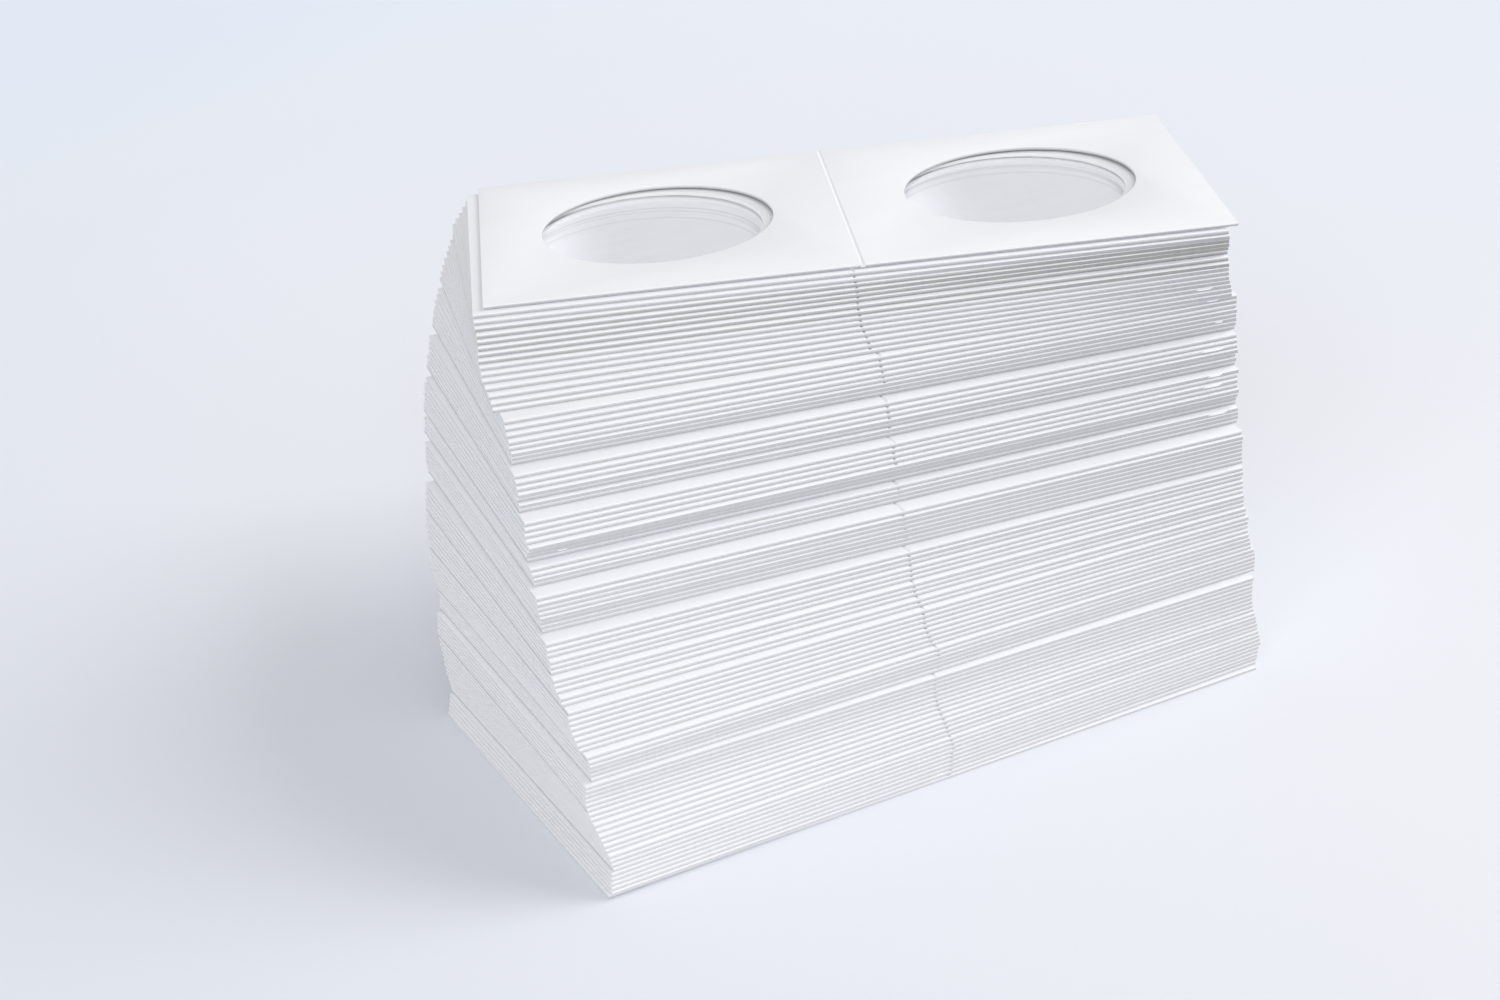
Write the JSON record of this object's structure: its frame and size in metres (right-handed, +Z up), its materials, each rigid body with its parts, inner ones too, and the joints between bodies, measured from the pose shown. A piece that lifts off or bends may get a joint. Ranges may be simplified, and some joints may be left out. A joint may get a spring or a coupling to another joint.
{
  "type": "coin holder flip pile",
  "caption": "Fanned pile of unfolded white card coin flips with round film windows and a scored crease; the top flip lifts off and folds shut round a coin.",
  "frame": {"origin": "middle of the lowest flip's underside, on the surface that the pile stands on", "axes": "+X along the lowest flip's long edge to the right, +Y to the back, +Z up the pile"},
  "size_m": [0.1247, 0.0983, 0.0632],
  "materials": {
    "card": "smooth white facing, fibrous cut edges",
    "film": "clear film, slightly milky where many lie over each other"
  },
  "bodies": {
    "base_block": {"stack_01_cards": "card", "stack_01_films": "film", "stack_02_cards": "card", "stack_02_films": "film", "stack_03_cards": "card", "stack_03_films": "film"},
    "block_2": {"stack_04_cards": "card", "stack_04_films": "film", "stack_05_cards": "card", "stack_05_films": "film", "stack_06_cards": "card", "stack_06_films": "film", "stack_07_cards": "card", "stack_07_films": "film"},
    "block_3": {"stack_08_cards": "card", "stack_08_films": "film"},
    "block_4": {"stack_09_cards": "card", "stack_09_films": "film"},
    "block_5": {"stack_10_cards": "card", "stack_10_films": "film"},
    "block_6": {"stack_11_cards": "card", "stack_11_films": "film"},
    "block_7": {"stack_12_cards": "card", "stack_12_films": "film"},
    "block_8": {"flip_99_card": "card", "flip_99_film": "film", "flip_98_card": "card", "flip_98_film": "film", "flip_97_card": "card", "flip_97_film": "film", "flip_96_card": "card", "flip_96_film": "film", "flip_95_card": "card", "flip_95_film": "film", "flip_94_card": "card", "flip_94_film": "film", "flip_93_card": "card", "flip_93_film": "film", "flip_92_card": "card", "flip_92_film": "film", "flip_91_card": "card", "flip_91_film": "film", "flip_90_card": "card", "flip_90_film": "film", "flip_89_card": "card", "flip_89_film": "film", "flip_88_card": "card", "flip_88_film": "film", "flip_87_card": "card", "flip_87_film": "film", "flip_86_card": "card", "flip_86_film": "film", "flip_85_card": "card", "flip_85_film": "film"},
    "top_right_panel": {"top_right_card": "card", "top_right_film": "film"},
    "top_left_panel": {"top_left_card": "card", "top_left_film": "film"}
  },
  "joints": [
    {"name": "lift_block_2", "type": "slide", "parent": "base_block", "child": "block_2", "axis": [0, 0, 1], "range_m": [0, 0.05]},
    {"name": "lift_block_3", "type": "slide", "parent": "block_2", "child": "block_3", "axis": [0, 0, 1], "range_m": [0, 0.05]},
    {"name": "lift_block_4", "type": "slide", "parent": "block_3", "child": "block_4", "axis": [0, 0, 1], "range_m": [0, 0.05]},
    {"name": "lift_block_5", "type": "slide", "parent": "block_4", "child": "block_5", "axis": [0, 0, 1], "range_m": [0, 0.05]},
    {"name": "lift_block_6", "type": "slide", "parent": "block_5", "child": "block_6", "axis": [0, 0, 1], "range_m": [0, 0.05]},
    {"name": "lift_block_7", "type": "slide", "parent": "block_6", "child": "block_7", "axis": [0, 0, 1], "range_m": [0, 0.05]},
    {"name": "lift_block_8", "type": "slide", "parent": "block_7", "child": "block_8", "axis": [0, 0, 1], "range_m": [0, 0.05]},
    {"name": "lift_top_flip", "type": "slide", "parent": "block_8", "child": "top_right_panel", "axis": [0, 0, 1], "range_m": [0, 0.166]},
    {"name": "fold_top_flip", "type": "hinge", "parent": "top_right_panel", "child": "top_left_panel", "pos_m": [0.017, 0.02939, 0.05921], "axis": [-0.3891, -0.9183, 0.0735], "range_deg": [0, 180]}
  ],
  "couplings": [
    {"joint": "fold_top_flip", "follows": "lift_top_flip", "rad_per_m": 18.92}
  ]
}
